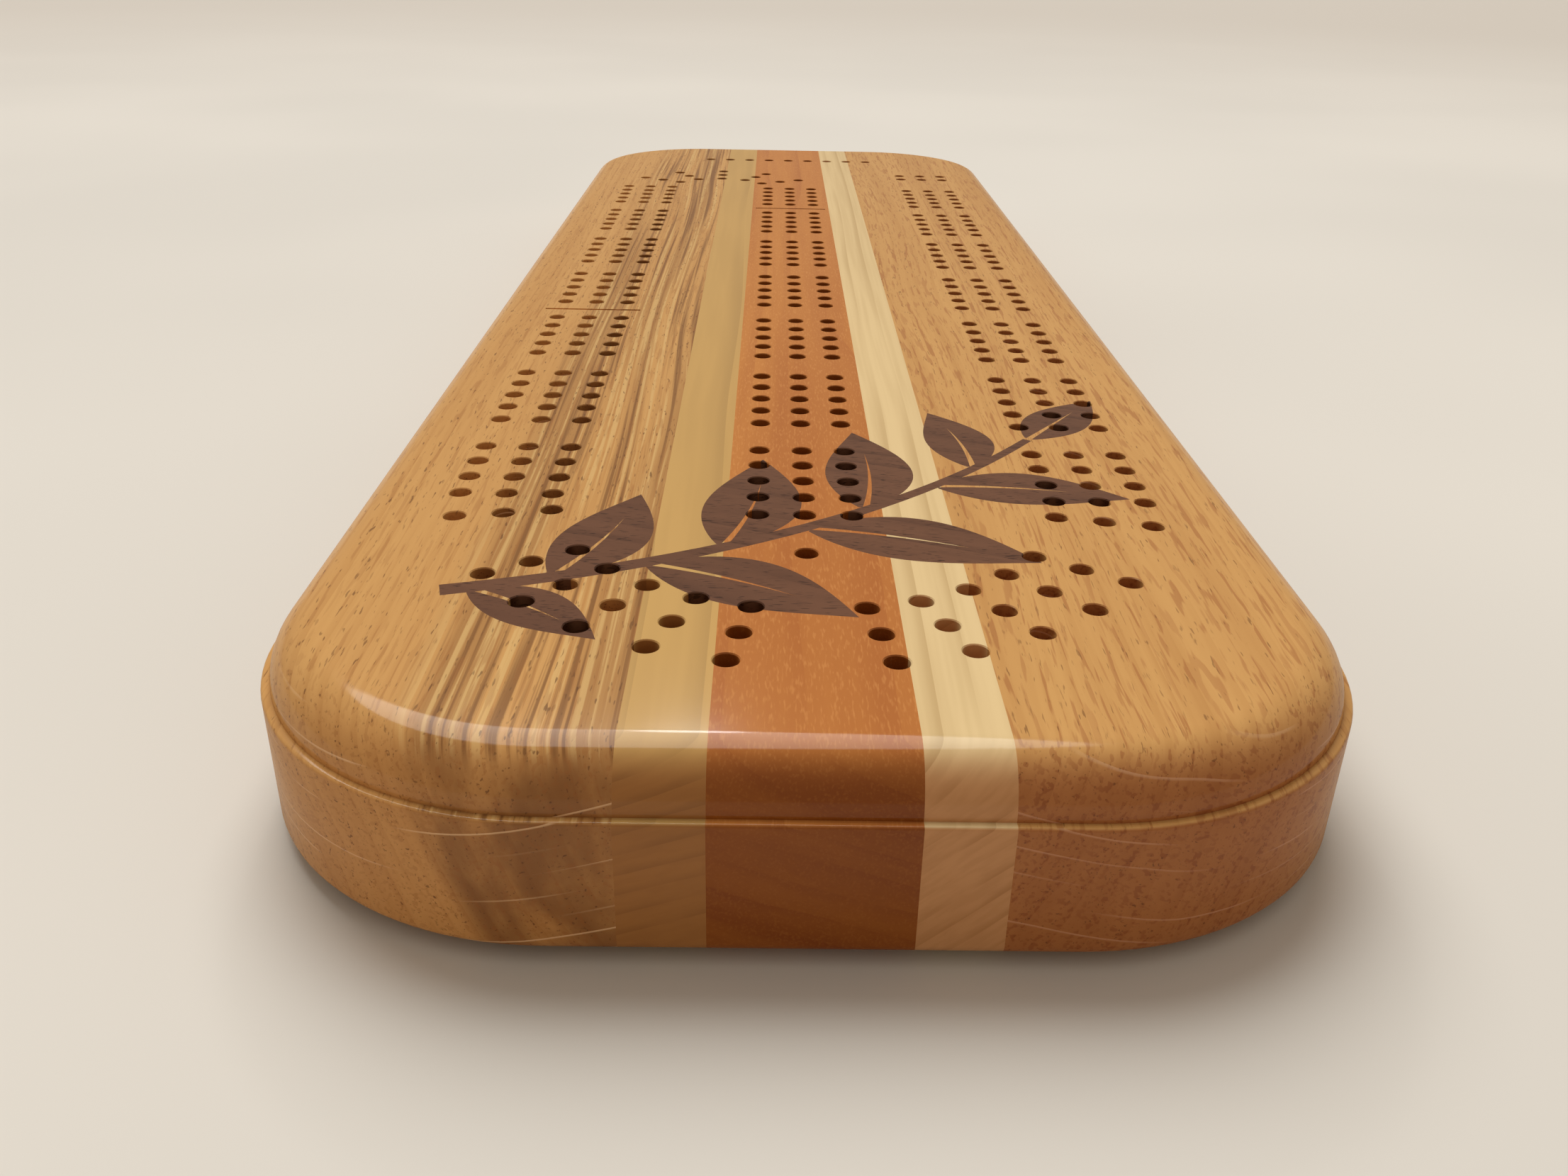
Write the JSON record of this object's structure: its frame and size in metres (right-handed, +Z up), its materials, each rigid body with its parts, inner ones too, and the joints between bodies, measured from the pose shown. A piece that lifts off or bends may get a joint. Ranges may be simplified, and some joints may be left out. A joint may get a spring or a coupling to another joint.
{
  "type": "cribbage board with drawer",
  "caption": "Long hardwood cribbage board built as a box: striped block with rounded corners, three-lane peg track, leaf inlay, felt feet and a peg drawer in one end.",
  "frame": {"origin": "middle of the whole footprint, drawer shut and knob included, on the surface under the felt feet", "axes": "+Y along the board towards the drawer, +Z up, +X to the right as seen from the near end, where the finishing hole is"},
  "size_m": [0.1334, 0.4108, 0.025],
  "materials": {
    "oak": "satin lacquer on oak, golden brown with open grain",
    "maple": "satin lacquer on maple, pale cream",
    "cherry": "satin lacquer on cherry, reddish brown",
    "walnut": "satin lacquer on walnut, dark brown",
    "panel_maple": "plain sanded maple with a thin oil finish",
    "tray_maple": "plain sanded maple with a thin oil finish",
    "peg_maple": "turned maple, polished",
    "peg_cherry": "turned cherry, polished",
    "peg_walnut": "turned walnut, polished",
    "brass": "turned brass, polished",
    "nickel": "nickel plated",
    "felt": "black wool felt"
  },
  "bodies": {
    "box": {"body_magnet": "nickel", "bottom_panel": "panel_maple", "cherry_strip_centre": "cherry", "drawer_stop_screw": "brass", "foot_far_left": "felt", "foot_far_right": "felt", "foot_near_left": "felt", "foot_near_right": "felt", "inlay_leaf_1": "walnut", "inlay_leaf_2": "walnut", "inlay_leaf_3": "walnut", "inlay_leaf_4": "walnut", "inlay_leaf_5": "walnut", "inlay_leaf_6": "walnut", "inlay_leaf_7": "walnut", "inlay_leaf_8": "walnut", "inlay_leaf_9": "walnut", "inlay_twig": "walnut", "maple_strip_left": "maple", "maple_strip_right": "maple", "oak_strip_left": "oak", "oak_strip_right": "oak", "panel_screws": "brass"},
    "drawer": {"drawer_back": "tray_maple", "drawer_bottom": "tray_maple", "drawer_divider_1": "tray_maple", "drawer_divider_2": "tray_maple", "drawer_front_cherry_centre": "cherry", "drawer_front_maple_left": "maple", "drawer_front_maple_right": "maple", "drawer_front_oak_left": "oak", "drawer_front_oak_right": "oak", "drawer_knob": "brass", "drawer_magnet": "nickel", "drawer_side_left": "tray_maple", "drawer_side_right": "tray_maple", "peg_cherry_1": "peg_cherry", "peg_cherry_2": "peg_cherry", "peg_cherry_3": "peg_cherry", "peg_maple_1": "peg_maple", "peg_maple_2": "peg_maple", "peg_maple_3": "peg_maple", "peg_walnut_1": "peg_walnut", "peg_walnut_2": "peg_walnut", "peg_walnut_3": "peg_walnut"}
  },
  "joints": [
    {"name": "drawer_slide", "type": "slide", "parent": "box", "child": "drawer", "axis": [0, 1, 0], "range_m": [0, 0.075]}
  ]
}
